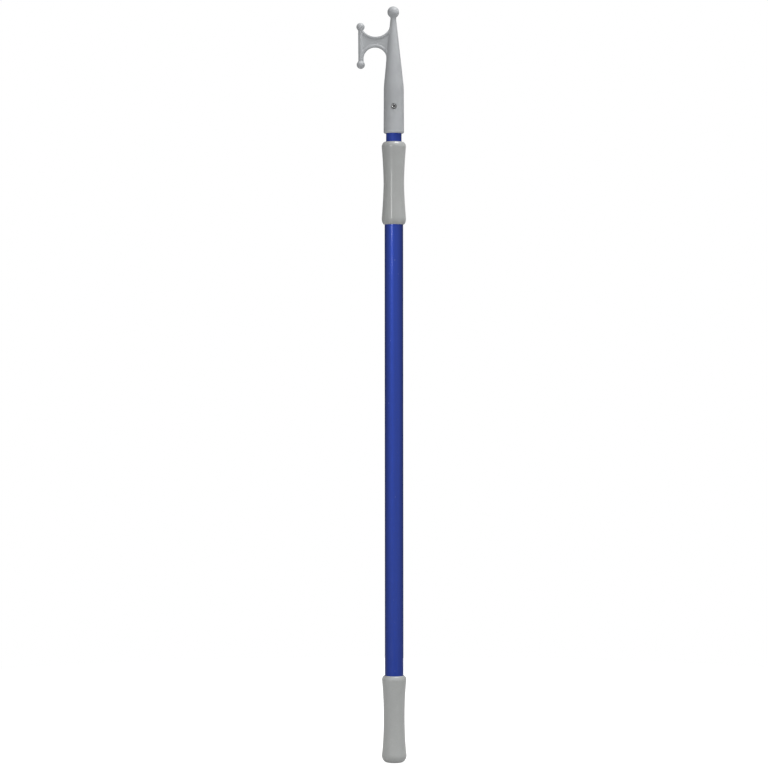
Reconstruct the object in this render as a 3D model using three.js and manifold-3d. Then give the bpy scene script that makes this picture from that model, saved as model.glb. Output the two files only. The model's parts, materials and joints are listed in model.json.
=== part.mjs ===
// Telescopic boat hook: a moulded hook head on the inner of two aluminium tubes, two soft grips on the
// outer tube, and a twist lock that jams an off-centre ring inside the outer tube.
// Millimetres, +Z up the pole. The origin is the centre of the lower grip's flat base. The hook points
// towards -X and the hook screw faces -Y. The pole is modelled pushed together.

import * as THREE from "three";
import { mergeVertices } from "three/addons/utils/BufferGeometryUtils.js";
import Module from "manifold-3d";

const wasm = await Module();
wasm.setup();

// ---------------------------------------------------------------- driving dimensions

const CLOSED_LENGTH = 1219;
const OUTER_TUBE_RADIUS = 15;
const INNER_TUBE_RADIUS = 12.5;
const TUBE_WALL = 1.2;

const FIXED_GAP = 0.1; // between pieces that are pressed or stretched together
const RUNNING_GAP = 0.15; // between pieces that turn or slide on each other
const SCREW_GAP = 0.2; // round a screw, rivet or pin in its hole

const ROUND_SEGMENTS = 40;
const SMALL_SEGMENTS = 20;
const CORD_SEGMENTS = 8;
const EDGE_STEPS = 4; // in a rounded edge's arc
const BALL_STEPS = 8; // in a ball's arc, from its neck to its pole
const FLARE_STEPS = 5; // from a grip's waist to a swell
const MERGE_DISTANCE = 1e-4; // corners closer than this are one corner
const OVERRUN = 1; // how far a cutter passes the surface it opens

// Grips: z of the lower end, length and waist. Each side flares by a power of the way from the waist out to
// its swell, and ends in a piece of an ellipse that turns through the sweep angle, in to the inner radius.
const GRIP_BORE = OUTER_TUBE_RADIUS + FIXED_GAP;
const LOWER_GRIP = {
  bottom: 0,
  length: 140,
  waistAt: 74.5,
  waist: 17,
  foot: { swell: 20.1, power: 2.4, height: 11.5, inner: 10.6, sweep: 90 },
  mouth: { swell: 19.7, power: 2, height: 7, inner: GRIP_BORE, sweep: 90 },
};
const UPPER_GRIP = {
  bottom: 867,
  length: 133.4,
  waistAt: 66,
  waist: 16.6,
  foot: { swell: 19.6, power: 1.5, height: 9.9, inner: GRIP_BORE, sweep: 90 },
  mouth: { swell: 19.6, power: 1.7, height: 8, inner: GRIP_BORE, sweep: 75 },
};
const GRIP_FLOOR = 6;

// Hook head, measured from the bottom of its barrel.
const HOOK = {
  length: 205,
  barrelRadius: 16.5,
  coneFoot: { radius: 16.1, z: 75.5 },
  coneTip: { radius: 4.45, z: 186.8 },
  blend: 8,
  lip: 2.5,
  topBallRadius: 9.4,
  socketDepth: 68,
  coreFootRadius: 9.5,
  coreTipRadius: 2.5,
  coreTop: 150,
};
const CROSSBAR = { x: -53, radius: 3.8, ballRadius: 6.6, lowBall: 110.8, highBall: 171.8 };
const THROAT = { x: -29.8, z: 119.6, radius: 18.9, from: 180, to: 0 }; // opening below the web
const FORK = { x: -28.6, z: 181.1, radius: 25.2, from: 212, to: 338 }; // opening above the web
const BEAD_RADIUS = 2.9;
const BEAD_STEPS = 14; // along a bead
const BEAD_SEGMENTS = 12; // round a bead
const WEB_THICKNESS = 3.6;

// Screws, rivets and pins.
const HOOK_SCREW = { z: 42.3, seat: 15, recessRadius: 5, shankRadius: 1.95, length: 13.5, headRadius: 3.9 };
const END_SCREW = { shankRadius: 1.95, length: 15.5, headRadius: 3.5 };
const SCREW_HEAD = { edge: 0.8, height: 2.2 };
const CROSS_SLOT = { length: 4.4, width: 0.9, depth: 1.2 };
const RIVET = { z: 985, shankRadius: 1.5, headRadius: 3, headHeight: 1.1, pocketGap: 0.5 };
const LOCK_PIN_RADIUS = 1.5;

// Fittings in the outer tube.
const PLUG = { flange: 2, height: 29.3, cavityRadius: 11, cavityDepth: 24, chamfer: 1.2 };
const BUSH = { bottom: 942.5, sink: 0.4, flangeHeight: 2.3, wiperHeight: 1.7, wiperRadius: 13.9 };

// Twist lock, measured from the bottom of its end cap.
const LOCK = {
  bottom: 36,
  eccentricity: 0.7,
  capHeight: 4,
  capRadius: 12.9,
  capChamfer: 1,
  journalRadius: 7,
  journalTop: 23,
  journalRoot: 24,
  flangeRadius: 13.2,
  flangeTop: 26,
  shankTop: 56,
  shankHollowRadius: 7.5,
  shankHollowBottom: 32,
  pinHeight: 38,
};
const CAM = { radius: 13, endGap: 0.6, slit: 2.4, grooveRadius: 11.8, bandWidth: 4 };
const SEAL = { height: 47.6, cordRadius: 0.75, grooveRadius: 9.6, grooveWidth: 2 };

// Closed-cell plugs that keep the pole afloat.
const FLOAT_RADIUS = 11;
const FLOAT_GAP = 0.6;
const LOWER_FLOAT_LENGTH = 55;
const UPPER_FLOAT_LENGTH = 45;

// ---------------------------------------------------------------- derived places

const HOOK_BOTTOM = CLOSED_LENGTH - HOOK.length;
const OUTER_BORE = OUTER_TUBE_RADIUS - TUBE_WALL;
const INNER_BORE = INNER_TUBE_RADIUS - TUBE_WALL;
const PLUG_BOTTOM = GRIP_FLOOR + SCREW_GAP;
const OUTER_TUBE_BOTTOM = PLUG_BOTTOM + PLUG.flange + FIXED_GAP;
const GRIP_MOUTH = UPPER_GRIP.bottom + UPPER_GRIP.length;
const BUSH_TOP = GRIP_MOUTH - BUSH.sink;
const OUTER_TUBE_TOP = BUSH_TOP - BUSH.flangeHeight - FIXED_GAP;
const INNER_TUBE_BOTTOM = LOCK.bottom + LOCK.flangeTop + FIXED_GAP;
const INNER_TUBE_TOP = HOOK_BOTTOM + HOOK.socketDepth;
const LOCK_PIN_LENGTH = 2 * (INNER_TUBE_RADIUS - FIXED_GAP);

// ---------------------------------------------------------------- shape helpers

const radians = THREE.MathUtils.degToRad;

// Points [radius, z] on a circle or ellipse in the profile plane; angles in degrees from the +radius side.
function profileArc([centreRadius, centreZ], [semiRadius, semiZ], fromAngle, toAngle, steps) {
  return Array.from({ length: steps + 1 }, (_, i) => {
    const angle = radians(THREE.MathUtils.lerp(fromAngle, toAngle, i / steps));
    return [centreRadius + semiRadius * Math.cos(angle), centreZ + semiZ * Math.sin(angle)];
  });
}

// A body turned about Z from a profile of [radius, z] points that goes round its material counter-clockwise.
function turned(profile, segments = ROUND_SEGMENTS) {
  const points = profile.map(([radius, z]) => new THREE.Vector2(Math.max(radius, 0), z));
  return new THREE.LatheGeometry(points, segments).rotateX(Math.PI / 2);
}

// A turned body whose profile doesn't touch the axis: the profile closes on itself.
function turnedRing(profile, segments = ROUND_SEGMENTS) {
  return turned([...profile, profile[0]], segments);
}

// A plain ring or tube between two radii.
function tube(innerRadius, outerRadius, bottom, top) {
  return turnedRing([
    [innerRadius, bottom],
    [outerRadius, bottom],
    [outerRadius, top],
    [innerRadius, top],
  ]);
}

// A cylinder between two points on a line parallel to one axis.
function rod(radius, start, end, segments = SMALL_SEGMENTS) {
  const from = new THREE.Vector3(...start);
  const to = new THREE.Vector3(...end);
  const along = to.clone().sub(from);
  const geometry = new THREE.CylinderGeometry(radius, radius, along.length(), segments);
  const turn = new THREE.Quaternion().setFromUnitVectors(new THREE.Vector3(0, 1, 0), along.normalize());
  geometry.applyQuaternion(turn);
  return geometry.translate(...from.add(to).divideScalar(2).toArray());
}

function solidOf(geometry) {
  const bare = geometry.clone();
  bare.deleteAttribute("normal");
  bare.deleteAttribute("uv");
  const merged = mergeVertices(bare, MERGE_DISTANCE);
  const vertProperties = merged.getAttribute("position").array;
  const triVerts = new Uint32Array(merged.index.array);
  return new wasm.Manifold(new wasm.Mesh({ numProp: 3, vertProperties, triVerts }));
}

function geometryOf(solid) {
  const mesh = solid.getMesh();
  const geometry = new THREE.BufferGeometry();
  geometry.setAttribute("position", new THREE.BufferAttribute(mesh.vertProperties, 3));
  geometry.setIndex(new THREE.BufferAttribute(mesh.triVerts, 1));
  geometry.computeVertexNormals();
  return geometry;
}

function join(...geometries) {
  return geometryOf(geometries.map(solidOf).reduce((body, piece) => body.add(piece)));
}

function cut(geometry, ...tools) {
  return geometryOf(tools.map(solidOf).reduce((body, tool) => body.subtract(tool), solidOf(geometry)));
}

// An arc in the XZ plane, angles in degrees from +X towards +Z.
class HookArc extends THREE.Curve {
  constructor(opening, radius) {
    super();
    this.opening = opening;
    this.radius = radius;
  }
  getPoint(t) {
    const { x, z, from, to } = this.opening;
    const angle = radians(THREE.MathUtils.lerp(from, to, t));
    return new THREE.Vector3(x + this.radius * Math.cos(angle), 0, z + this.radius * Math.sin(angle));
  }
}

// ---------------------------------------------------------------- grips

// One side of a grip's outside, from above or below the waist to the end at endZ.
function gripSide({ waistAt, waist }, { swell, power, height, inner, sweep }, endZ) {
  const outward = Math.sign(endZ - waistAt);
  const edgeZ = endZ - outward * height;
  const flare = Array.from({ length: FLARE_STEPS - 1 }, (_, i) => {
    const share = (i + 1) / FLARE_STEPS;
    return [waist + (swell - waist) * share ** power, THREE.MathUtils.lerp(waistAt, edgeZ, share)];
  });
  const semiRadius = (swell - inner) / (1 - Math.cos(radians(sweep)));
  const semiZ = (outward * height) / Math.sin(radians(sweep));
  return [...flare, ...profileArc([swell - semiRadius, edgeZ], [semiRadius, semiZ], 0, sweep, EDGE_STEPS)];
}

// Outside of a grip from its foot to its mouth.
function gripOutline(grip) {
  const waistPoint = [grip.waist, grip.waistAt];
  return [...gripSide(grip, grip.foot, 0).reverse(), waistPoint, ...gripSide(grip, grip.mouth, grip.length)];
}

function lowerGrip() {
  return turned([[0, 0], ...gripOutline(LOWER_GRIP), [GRIP_BORE, GRIP_FLOOR], [0, GRIP_FLOOR]]);
}

function upperGrip() {
  const pocketZ = RIVET.z - UPPER_GRIP.bottom;
  const reach = OUTER_TUBE_RADIUS + RIVET.headHeight + RIVET.pocketGap;
  const pocket = rod(RIVET.headRadius + RIVET.pocketGap, [-reach, 0, pocketZ], [reach, 0, pocketZ]);
  return cut(turnedRing(gripOutline(UPPER_GRIP)), pocket);
}

// ---------------------------------------------------------------- outer tube and its fittings

function outerTube() {
  const wall = tube(OUTER_BORE, OUTER_TUBE_RADIUS, OUTER_TUBE_BOTTOM, OUTER_TUBE_TOP);
  return cut(wall, rivetHole());
}

function rivetHole() {
  const reach = OUTER_TUBE_RADIUS + OVERRUN;
  return rod(RIVET.shankRadius + SCREW_GAP, [-reach, 0, RIVET.z], [reach, 0, RIVET.z]);
}

// A cup that closes the tube, open downwards.
function bottomPlug() {
  const body = OUTER_BORE - FIXED_GAP;
  return turned([
    [0, PLUG.cavityDepth],
    [PLUG.cavityRadius, PLUG.cavityDepth],
    [PLUG.cavityRadius, 0],
    [OUTER_TUBE_RADIUS - FIXED_GAP, 0],
    [OUTER_TUBE_RADIUS - FIXED_GAP, PLUG.flange],
    [body, PLUG.flange],
    [body, PLUG.height - PLUG.chamfer],
    [body - PLUG.chamfer, PLUG.height],
    [0, PLUG.height],
  ]);
}

// A flanged sleeve in the tube's mouth, with a seat for the wiper round the inner tube.
function guideBush() {
  const bore = INNER_TUBE_RADIUS + RUNNING_GAP;
  const body = OUTER_BORE - FIXED_GAP;
  const flangeBottom = BUSH_TOP - BUSH.flangeHeight;
  const wiperSeat = BUSH_TOP - BUSH.wiperHeight;
  const sleeve = turnedRing([
    [bore, BUSH.bottom],
    [body, BUSH.bottom],
    [body, flangeBottom],
    [OUTER_TUBE_RADIUS - FIXED_GAP, flangeBottom],
    [OUTER_TUBE_RADIUS - FIXED_GAP, BUSH_TOP],
    [BUSH.wiperRadius, BUSH_TOP],
    [BUSH.wiperRadius, wiperSeat],
    [bore, wiperSeat],
  ]);
  return cut(sleeve, rivetHole());
}

function wiperRing() {
  const outer = BUSH.wiperRadius - RUNNING_GAP;
  return tube(INNER_TUBE_RADIUS + FIXED_GAP, outer, FIXED_GAP, BUSH.wiperHeight - FIXED_GAP);
}

// A blind rivet: z = 0 under the head, the shank below it.
function bushRivet() {
  const shankLength = OUTER_TUBE_RADIUS - INNER_TUBE_RADIUS - 2 * RUNNING_GAP;
  return turned(
    [
      [0, -shankLength],
      [RIVET.shankRadius, -shankLength],
      [RIVET.shankRadius, 0],
      ...profileArc([0, 0], [RIVET.headRadius, RIVET.headHeight], 0, 90, EDGE_STEPS),
    ],
    SMALL_SEGMENTS,
  );
}

// ---------------------------------------------------------------- inner tube and its floats

function innerTube() {
  const wall = tube(INNER_BORE, INNER_TUBE_RADIUS, INNER_TUBE_BOTTOM, INNER_TUBE_TOP);
  return cut(wall, screwHole(HOOK_BOTTOM + HOOK_SCREW.z), pinHole(LOCK.bottom + LOCK.pinHeight));
}

// The hook screw's hole through the front wall, at height z.
function screwHole(z) {
  const reach = HOOK.barrelRadius + OVERRUN;
  return rod(HOOK_SCREW.shankRadius + SCREW_GAP, [0, -reach, z], [0, 0, z]);
}

function pinHole(z) {
  const reach = INNER_TUBE_RADIUS + OVERRUN;
  return rod(LOCK_PIN_RADIUS + RUNNING_GAP, [0, -reach, z], [0, reach, z]);
}

function floatPlug(length) {
  return rod(FLOAT_RADIUS, [0, 0, 0], [0, 0, length], ROUND_SEGMENTS);
}

// The upper float sits under the socket's end, and the hook screw runs into it.
function upperFloat() {
  const bottom = HOOK.socketDepth - UPPER_FLOAT_LENGTH;
  return cut(floatPlug(UPPER_FLOAT_LENGTH), screwHole(HOOK_SCREW.z - bottom));
}

// ---------------------------------------------------------------- hook head

function coneRadius(z) {
  const { coneFoot, coneTip } = HOOK;
  return THREE.MathUtils.mapLinear(z, coneFoot.z, coneTip.z, coneFoot.radius, coneTip.radius);
}

// The barrel, cone and top ball in one turned body, with the tube socket and a tapering core below.
function hookShaft() {
  const { coneFoot, blend, lip, barrelRadius } = HOOK;
  const ballCentre = HOOK.length - HOOK.topBallRadius;
  const neckAngle = THREE.MathUtils.radToDeg(Math.acos(HOOK.coneTip.radius / HOOK.topBallRadius));
  const shoulder = new THREE.QuadraticBezierCurve(
    new THREE.Vector2(coneFoot.radius, coneFoot.z - blend),
    new THREE.Vector2(coneFoot.radius, coneFoot.z),
    new THREE.Vector2(coneRadius(coneFoot.z + blend), coneFoot.z + blend),
  );
  const socket = INNER_TUBE_RADIUS + FIXED_GAP;
  return turned([
    [0, HOOK.coreTop],
    [HOOK.coreTipRadius, HOOK.coreTop],
    [HOOK.coreFootRadius, HOOK.socketDepth + FIXED_GAP],
    [socket, HOOK.socketDepth + FIXED_GAP],
    [socket, 0],
    ...profileArc([barrelRadius - lip, lip], [lip, lip], -90, 0, EDGE_STEPS),
    ...shoulder.getPoints(EDGE_STEPS).map(({ x, y }) => [x, y]),
    ...profileArc([0, ballCentre], [HOOK.topBallRadius, HOOK.topBallRadius], -neckAngle, 90, BALL_STEPS),
  ]);
}

// The upright bar with a ball at each end.
function crossbar() {
  const { radius, ballRadius, lowBall, highBall } = CROSSBAR;
  const neckAngle = THREE.MathUtils.radToDeg(Math.acos(radius / ballRadius));
  const profile = [
    ...profileArc([0, lowBall], [ballRadius, ballRadius], -90, neckAngle, BALL_STEPS),
    ...profileArc([0, highBall], [ballRadius, ballRadius], -neckAngle, 90, BALL_STEPS),
  ];
  return turned(profile, SMALL_SEGMENTS).translate(CROSSBAR.x, 0, 0);
}

// A rounded bead along the edge of one of the hook's openings.
function bead(opening) {
  const section = new THREE.Shape().absarc(0, 0, BEAD_RADIUS, 0, 2 * Math.PI);
  const extrudePath = new HookArc(opening, opening.radius + BEAD_RADIUS);
  return new THREE.ExtrudeGeometry(section, {
    steps: BEAD_STEPS,
    curveSegments: BEAD_SEGMENTS / 2,
    bevelEnabled: false,
    extrudePath,
  });
}

// The thin plate between the crossbar and the cone; both of its arcs run along the middle of a bead.
function web() {
  const plate = new THREE.Shape();
  const edge = ({ x, z, radius, from, to }, clockwise) =>
    plate.absarc(x, z, radius + BEAD_RADIUS, radians(from), radians(to), clockwise);
  edge(THROAT, true);
  edge({ ...FORK, from: FORK.to, to: FORK.from }, true);
  const geometry = new THREE.ExtrudeGeometry(plate, {
    depth: WEB_THICKNESS,
    curveSegments: BEAD_STEPS,
    bevelEnabled: false,
  });
  return geometry.rotateX(Math.PI / 2).translate(0, WEB_THICKNESS / 2, 0);
}

function hookHead() {
  const body = join(hookShaft(), crossbar(), web(), bead(THROAT), bead(FORK));
  const { z, seat, recessRadius } = HOOK_SCREW;
  const recess = rod(recessRadius, [0, -HOOK.barrelRadius - OVERRUN, z], [0, -seat, z]);
  return cut(body, recess, screwHole(z));
}

// ---------------------------------------------------------------- screws and pins

// A round-headed screw with a cross slot: z = 0 under the head, the thread below it.
function screw({ shankRadius, length, headRadius }) {
  const dome = [headRadius, SCREW_HEAD.height - SCREW_HEAD.edge];
  const blank = turned(
    [
      [0, -length],
      [shankRadius, -length + shankRadius],
      [shankRadius, 0],
      [headRadius, 0],
      ...profileArc([0, SCREW_HEAD.edge], dome, 0, 90, EDGE_STEPS),
    ],
    SMALL_SEGMENTS,
  );
  const slotHeight = 2 * CROSS_SLOT.depth;
  const slot = new THREE.BoxGeometry(CROSS_SLOT.length, CROSS_SLOT.width, slotHeight);
  slot.translate(0, 0, SCREW_HEAD.height);
  return cut(blank, slot, slot.clone().rotateZ(Math.PI / 2));
}

// ---------------------------------------------------------------- twist lock

// The spindle pinned into the inner tube: hollow shank, flange, and the off-centre journal below.
function lockSpindle() {
  const shankRadius = INNER_BORE - RUNNING_GAP;
  const shank = turned([
    [0, LOCK.journalTop],
    [LOCK.flangeRadius, LOCK.journalTop],
    [LOCK.flangeRadius, LOCK.flangeTop],
    [shankRadius, LOCK.flangeTop],
    [shankRadius, SEAL.height - SEAL.grooveWidth / 2],
    [SEAL.grooveRadius, SEAL.height - SEAL.grooveWidth / 2],
    [SEAL.grooveRadius, SEAL.height + SEAL.grooveWidth / 2],
    [shankRadius, SEAL.height + SEAL.grooveWidth / 2],
    [shankRadius, LOCK.shankTop],
    [LOCK.shankHollowRadius, LOCK.shankTop],
    [LOCK.shankHollowRadius, LOCK.shankHollowBottom],
    [0, LOCK.shankHollowBottom],
  ]);
  const journalBottom = LOCK.capHeight + SCREW_GAP;
  const x = LOCK.eccentricity;
  const journal = rod(LOCK.journalRadius, [x, 0, journalBottom], [x, 0, LOCK.journalRoot], ROUND_SEGMENTS);
  const screwTop = END_SCREW.length + LOCK.capHeight;
  const thread = rod(END_SCREW.shankRadius + SCREW_GAP, [0, 0, 0], [0, 0, screwTop]);
  return cut(join(shank, journal), thread, pinHole(LOCK.pinHeight));
}

function sealRing() {
  const corePlusCord = INNER_BORE - RUNNING_GAP / 2 - SEAL.cordRadius;
  return new THREE.TorusGeometry(corePlusCord, SEAL.cordRadius, CORD_SEGMENTS, ROUND_SEGMENTS);
}

function lockPin() {
  const half = LOCK_PIN_LENGTH / 2;
  return rod(LOCK_PIN_RADIUS, [0, -half, 0], [0, half, 0]);
}

// A split ring whose bore is off-centre. Its own origin is the bore's centre, and z = 0 is its lower face.
function camRing(height) {
  const bore = LOCK.journalRadius + RUNNING_GAP;
  const outerSlit = Math.asin(CAM.slit / 2 / CAM.radius);
  const boreSlit = Math.asin(CAM.slit / 2 / bore);
  const full = 2 * Math.PI;
  const section = new THREE.Shape();
  section.absarc(-LOCK.eccentricity, 0, CAM.radius, outerSlit, full - outerSlit, false);
  section.absarc(0, 0, bore, full - boreSlit, boreSlit, true);
  const ring = new THREE.ExtrudeGeometry(section, {
    depth: height,
    curveSegments: ROUND_SEGMENTS / 2,
    bevelEnabled: false,
  });
  const grooveHalf = CAM.bandWidth / 2 + SCREW_GAP;
  const reach = CAM.radius + OVERRUN;
  const groove = tube(CAM.grooveRadius, reach, height / 2 - grooveHalf, height / 2 + grooveHalf);
  return cut(ring, groove.translate(-LOCK.eccentricity, 0, 0));
}

function dragBand() {
  return tube(CAM.grooveRadius + FIXED_GAP, CAM.radius, -CAM.bandWidth / 2, CAM.bandWidth / 2);
}

// The disc that keeps the cam ring on the journal, with a sunk seat for its screw.
function lockEndCap() {
  const seatDepth = SCREW_HEAD.height + SCREW_GAP;
  return turnedRing([
    [END_SCREW.headRadius + SCREW_GAP, 0],
    [LOCK.capRadius - LOCK.capChamfer, 0],
    [LOCK.capRadius, LOCK.capChamfer],
    [LOCK.capRadius, LOCK.capHeight],
    [END_SCREW.shankRadius + SCREW_GAP, LOCK.capHeight],
    [END_SCREW.shankRadius + SCREW_GAP, seatDepth],
    [END_SCREW.headRadius + SCREW_GAP, seatDepth],
  ]);
}

// ---------------------------------------------------------------- materials

function material(color, roughness, metalness = 0) {
  return () => new THREE.MeshStandardMaterial({ color, roughness, metalness });
}

const blueAluminium = material(0x33458f, 0.35, 0.6);
const greyPlastic = material(0x9a9c9e, 0.5);
const softGrey = material(0x9b9c9a, 0.75);
const whiteNylon = material(0xd9d8d2, 0.5);
const blackRubber = material(0x1d1d1e, 0.85);
const foam = material(0xe6e4dc, 0.95);
const steel = material(0xb9bbbd, 0.3, 1);

// ---------------------------------------------------------------- scene graph

function mesh(name, geometry, makeMaterial, { x = 0, y = 0, z = 0 } = {}) {
  const piece = new THREE.Mesh(geometry, makeMaterial());
  piece.name = name;
  piece.position.set(x, y, z);
  return piece;
}

function rivetOn(side, name) {
  const rivet = mesh(name, bushRivet(), steel, { x: side * (OUTER_TUBE_RADIUS + FIXED_GAP), z: RIVET.z });
  rivet.rotation.y = (side * Math.PI) / 2;
  return rivet;
}

function makePole() {
  const pole = new THREE.Group();
  pole.add(
    mesh("outer_tube", outerTube(), blueAluminium),
    mesh("lower_grip", lowerGrip(), softGrey, { z: LOWER_GRIP.bottom }),
    mesh("upper_grip", upperGrip(), softGrey, { z: UPPER_GRIP.bottom }),
    mesh("bottom_plug", bottomPlug(), whiteNylon, { z: PLUG_BOTTOM }),
    mesh("guide_bush", guideBush(), whiteNylon),
    mesh("wiper_ring", wiperRing(), blackRubber, { z: BUSH_TOP - BUSH.wiperHeight }),
    rivetOn(-1, "bush_rivet_left"),
    rivetOn(1, "bush_rivet_right"),
  );
  return pole;
}

function makeHook() {
  const hook = new THREE.Group();
  hook.position.z = HOOK_BOTTOM;
  const hookScrew = mesh("hook_screw", screw(HOOK_SCREW), steel, {
    y: -HOOK_SCREW.seat - FIXED_GAP,
    z: HOOK_SCREW.z,
  });
  hookScrew.rotation.x = Math.PI / 2;
  hook.add(
    mesh("hook_head", hookHead(), greyPlastic),
    hookScrew,
    mesh("float_plug_upper", upperFloat(), foam, { z: HOOK.socketDepth - UPPER_FLOAT_LENGTH }),
  );
  return hook;
}

function makeLock() {
  const lock = new THREE.Group();
  lock.position.z = LOCK.bottom;
  const endScrew = mesh("lock_end_screw", screw(END_SCREW), steel, { z: SCREW_HEAD.height + FIXED_GAP });
  endScrew.rotation.x = Math.PI;
  lock.add(
    mesh("lock_spindle", lockSpindle(), whiteNylon),
    mesh("spindle_seal_ring", sealRing(), blackRubber, { z: SEAL.height }),
    mesh("lock_pin", lockPin(), steel, { z: LOCK.pinHeight }),
    mesh("lock_end_cap", lockEndCap(), whiteNylon),
    mesh("float_plug_lower", floatPlug(LOWER_FLOAT_LENGTH), foam, { z: LOCK.shankTop + FLOAT_GAP }),
    endScrew,
    makeCam(),
  );
  return lock;
}

// The cam turns about the journal, so its group stands on the journal's axis.
function makeCam() {
  const bottom = LOCK.capHeight + CAM.endGap;
  const height = LOCK.journalTop - CAM.endGap - bottom;
  const cam = new THREE.Group();
  cam.position.set(LOCK.eccentricity, 0, bottom);
  cam.add(
    mesh("cam_ring", camRing(height), greyPlastic),
    mesh("cam_drag_band", dragBand(), blackRubber, { x: -LOCK.eccentricity, z: height / 2 }),
  );
  return cam;
}

function makeInnerSection() {
  const innerSection = new THREE.Group();
  innerSection.add(mesh("inner_tube", innerTube(), blueAluminium), makeHook(), makeLock());
  return innerSection;
}

const boatHook = new THREE.Group();
boatHook.add(makePole(), makeInnerSection());

export default boatHook;
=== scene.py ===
import json
import math

import bmesh
import bpy
import numpy as np
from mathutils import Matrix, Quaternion, Vector


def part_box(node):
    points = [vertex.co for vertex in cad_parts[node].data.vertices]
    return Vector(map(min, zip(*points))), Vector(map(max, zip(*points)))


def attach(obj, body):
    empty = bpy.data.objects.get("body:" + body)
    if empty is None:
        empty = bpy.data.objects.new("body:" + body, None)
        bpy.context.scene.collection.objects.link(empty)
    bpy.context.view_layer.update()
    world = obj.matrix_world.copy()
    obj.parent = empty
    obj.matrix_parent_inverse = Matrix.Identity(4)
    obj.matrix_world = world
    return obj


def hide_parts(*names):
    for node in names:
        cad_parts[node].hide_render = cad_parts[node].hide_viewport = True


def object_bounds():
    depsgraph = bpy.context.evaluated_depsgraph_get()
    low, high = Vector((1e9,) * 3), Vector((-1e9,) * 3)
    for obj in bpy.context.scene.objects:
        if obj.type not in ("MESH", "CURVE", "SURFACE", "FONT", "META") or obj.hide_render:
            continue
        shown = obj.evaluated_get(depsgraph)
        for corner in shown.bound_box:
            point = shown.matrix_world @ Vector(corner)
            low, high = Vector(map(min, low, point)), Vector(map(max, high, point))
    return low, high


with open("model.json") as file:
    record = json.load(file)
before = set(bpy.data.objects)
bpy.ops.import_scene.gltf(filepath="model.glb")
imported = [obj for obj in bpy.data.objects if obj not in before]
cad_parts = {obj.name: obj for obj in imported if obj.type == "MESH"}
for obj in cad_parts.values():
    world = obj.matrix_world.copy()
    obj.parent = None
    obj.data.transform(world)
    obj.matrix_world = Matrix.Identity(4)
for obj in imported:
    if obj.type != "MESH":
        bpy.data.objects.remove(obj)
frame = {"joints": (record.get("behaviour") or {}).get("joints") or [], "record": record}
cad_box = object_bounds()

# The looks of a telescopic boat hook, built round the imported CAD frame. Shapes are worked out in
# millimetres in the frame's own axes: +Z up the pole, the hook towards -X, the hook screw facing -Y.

MM = 0.001
ON_AXIS = 1e-6  # a smaller radius than this counts as none
FIXED_GAP = 0.1  # between pieces that are pressed or stretched together
RUNNING_GAP = 0.15  # between pieces that slide or turn in each other
TUBE_WALL = 1.2
ROUND = 128  # segments round the pole
SMALL_ROUND = 48  # segments round a pin or rivet
HOLE_ROUND = 64  # segments round a drilled hole
SHARP_ANGLE = math.radians(38)  # an edge that turns more than this is shaded as a crease


def box_mm(node_name):
    """Lowest and highest corner of a CAD node, in millimetres."""
    low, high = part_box(node_name)
    return low / MM, high / MM


def middle_z(node_name):
    """Height of the middle of a CAD node, in millimetres."""
    low, high = box_mm(node_name)
    return (low.z + high.z) / 2


# ---------------------------------------------------------------- what the frame gives

POLE_RADIUS = box_mm("outer_tube")[1].x
INNER_RADIUS = box_mm("inner_tube")[1].x
OUTER_BORE = POLE_RADIUS - TUBE_WALL
INNER_BORE = INNER_RADIUS - TUBE_WALL
HOOK_LOW, HOOK_HIGH = box_mm("hook_head")
LOCK_BOTTOM = box_mm("lock_end_cap")[0].z
JOURNAL_X = next(j for j in frame["joints"] if j["name"] == "cam_turn")["pos_m"][0] / MM
RIVET_Z = middle_z("bush_rivet_right")
HOOK_SCREW_Z = middle_z("hook_screw")
LOCK_PIN_Z = middle_z("lock_pin")
BODIES = frame["record"]["behaviour"]["bodies"]
BODY_OF = {name: body for body, names in BODIES.items() for name in names}
SLOT_OF = {part["node"]: part["material_slot"] for part in frame["record"]["subparts"]}


# ---------------------------------------------------------------- turned shapes

NEARLY_STRAIGHT = math.radians(89)  # half the angle at a corner that needs no rounding
FILLET_SHARE = 0.48  # the most of an edge that the fillet at one end takes up


def fillet(before, corner, after, radius, steps):
    """An arc of points that rounds one corner of a profile, as a rational Bezier curve."""
    before, corner, after = (np.array(p, float) for p in (before, corner, after))
    edge_in, edge_out = before - corner, after - corner
    length_in, length_out = np.linalg.norm(edge_in), np.linalg.norm(edge_out)
    cosine = edge_in @ edge_out / (length_in * length_out)
    half = math.acos(max(-1.0, min(1.0, cosine))) / 2
    if half > NEARLY_STRAIGHT:
        return [tuple(corner)]
    reach = min(radius / math.tan(half), FILLET_SHARE * length_in, FILLET_SHARE * length_out)
    start = corner + edge_in / length_in * reach
    end = corner + edge_out / length_out * reach
    weight = math.sin(half)
    points = []
    for t in np.linspace(0, 1, steps + 1):
        shares = ((1 - t) ** 2, 2 * weight * t * (1 - t), t**2)
        mixed = shares[0] * start + shares[1] * corner + shares[2] * end
        points.append(tuple(mixed / sum(shares)))
    return points


def rounded(profile, radius, steps=4):
    """A profile of (radius, z) corners with every corner off the axis rounded."""
    count = len(profile)
    points = []
    for i, corner in enumerate(profile):
        before, after = profile[i - 1], profile[(i + 1) % count]
        if corner[0] < ON_AXIS:
            points.append(corner)
        else:
            points.extend(fillet(before, corner, after, radius, steps))
    return points


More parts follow.
